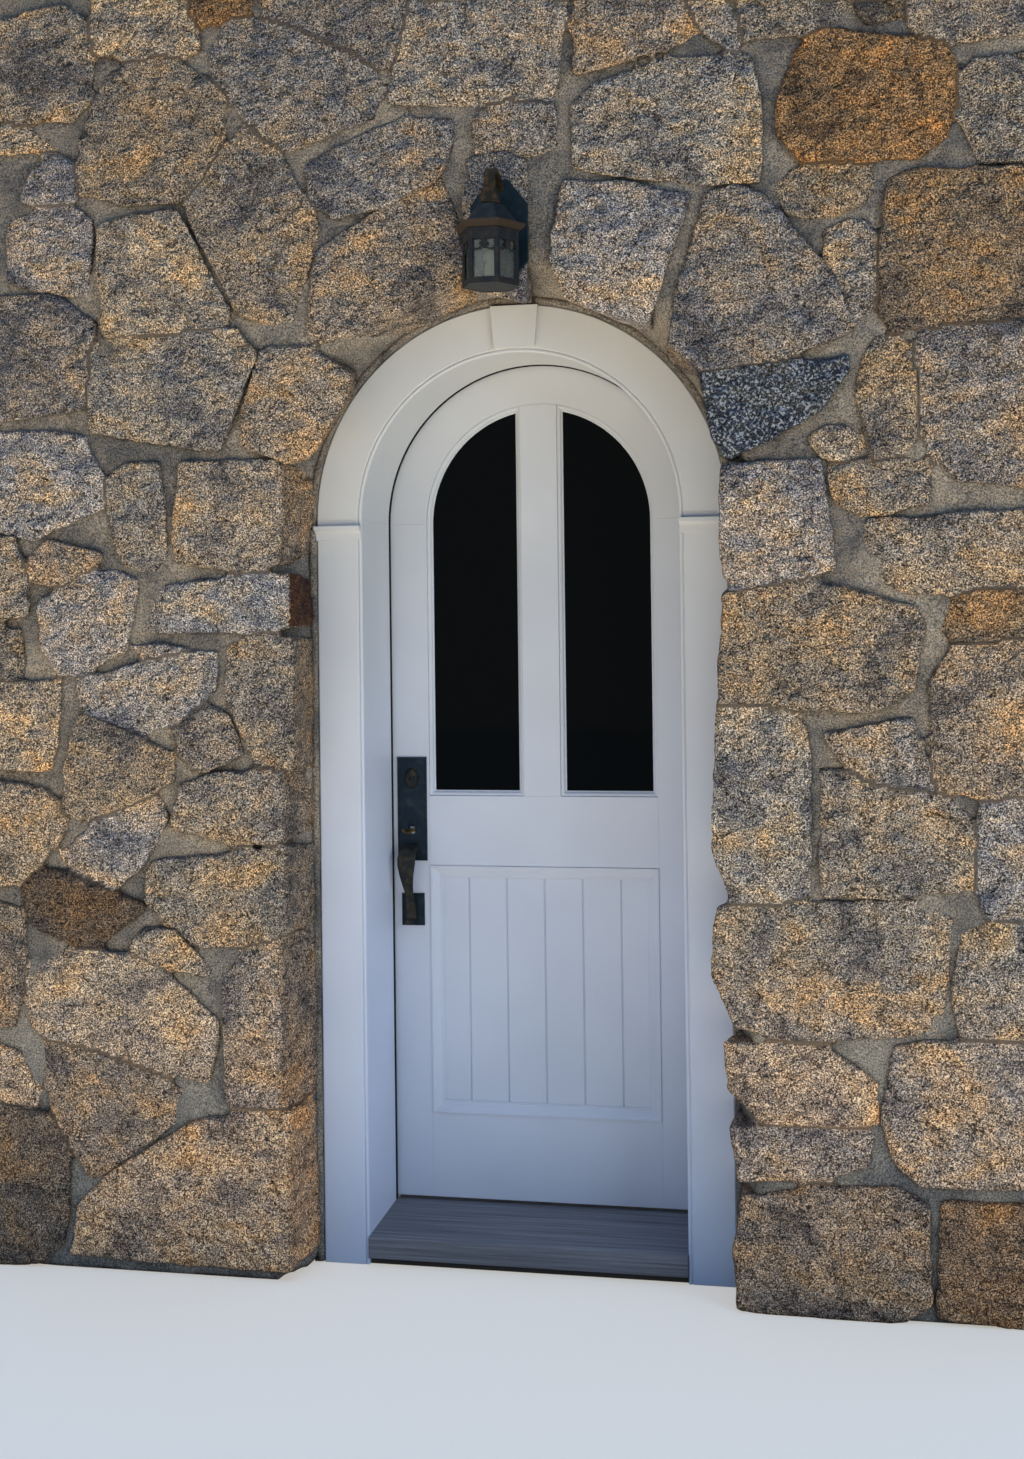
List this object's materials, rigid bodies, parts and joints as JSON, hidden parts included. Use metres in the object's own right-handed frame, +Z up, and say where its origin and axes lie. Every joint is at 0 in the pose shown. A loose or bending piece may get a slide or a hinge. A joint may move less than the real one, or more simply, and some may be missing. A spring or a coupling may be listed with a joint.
{
  "type": "arched entrance door in a rubble stone wall",
  "caption": "Round-headed glazed entrance door that swings in a white cased frame, set deep in a thick rubble stone wall with a small hexagonal lantern over it",
  "frame": {"origin": "on the ground under the doorway's centre line, half way through the wall's thickness", "axes": "+X to the right along the wall seen from outside, +Y into the wall towards the room, +Z up"},
  "size_m": [2.6, 0.646, 3],
  "materials": {
    "rubble_stone": "split fieldstone with recessed lime mortar",
    "sill_timber": "weathered oiled hardwood",
    "frame_paint": "white brushed paint",
    "seal_rubber": "matt",
    "bronze": "oiled dark bronze, worn on the edges",
    "hinge_steel": "satin",
    "lantern_bronze": "dark verdigris bronze",
    "lantern_glass": "clear wavy glass",
    "candle": "ivory candle sleeve",
    "door_paint": "white brushed paint",
    "door_glass": "dark clear glass"
  },
  "bodies": {
    "root": {"wall_left": "rubble_stone", "wall_right": "rubble_stone", "wall_head_left": "rubble_stone", "wall_head_right": "rubble_stone", "wall_above": "rubble_stone", "inner_threshold": "rubble_stone", "sill_base": "rubble_stone", "sill": "sill_timber", "jamb_left": "frame_paint", "jamb_right": "frame_paint", "jamb_head": "frame_paint", "casing_left": "frame_paint", "casing_right": "frame_paint", "casing_arch": "frame_paint", "keystone": "frame_paint", "impost_left": "frame_paint", "impost_right": "frame_paint", "inner_casing": "frame_paint", "weather_seal": "seal_rubber", "strike_plate": "bronze", "hinge_frame_leaves": "hinge_steel", "hinge_pins": "hinge_steel", "lantern_backplate": "lantern_bronze", "lantern_arm": "lantern_bronze", "lantern_roof": "lantern_bronze", "lantern_cage": "lantern_bronze", "lantern_panes": "lantern_glass", "lantern_lamp": "candle"},
    "door": {"lock_stile": "door_paint", "hinge_stile": "door_paint", "arch_rail": "door_paint", "lock_rail": "door_paint", "bottom_rail": "door_paint", "mullion": "door_paint", "glass_left": "door_glass", "glass_right": "door_glass", "glazing_mould_left": "door_paint", "glazing_mould_right": "door_paint", "lower_panel": "door_paint", "panel_mould": "door_paint", "door_sweep": "seal_rubber", "handle_plates": "bronze", "handle_grip": "bronze", "lock_cylinder": "bronze", "inner_knob": "bronze", "latch_faceplate": "bronze", "hinge_door_leaves": "hinge_steel"},
    "latch": {"thumb_latch": "bronze"}
  },
  "joints": [
    {"name": "door_hinge", "type": "hinge", "parent": "root", "child": "door", "pos_m": [0.3835, 0.1515, 0.9], "axis": [0, 0, -1], "range_deg": [0, 100]},
    {"name": "thumb_press", "type": "hinge", "parent": "door", "child": "latch", "pos_m": [-0.323, 0.096, 0.9755], "axis": [1, 0, 0], "range_deg": [0, 12], "stiffness_Nm_per_rad": 0.6, "springref_deg": -5.73}
  ]
}
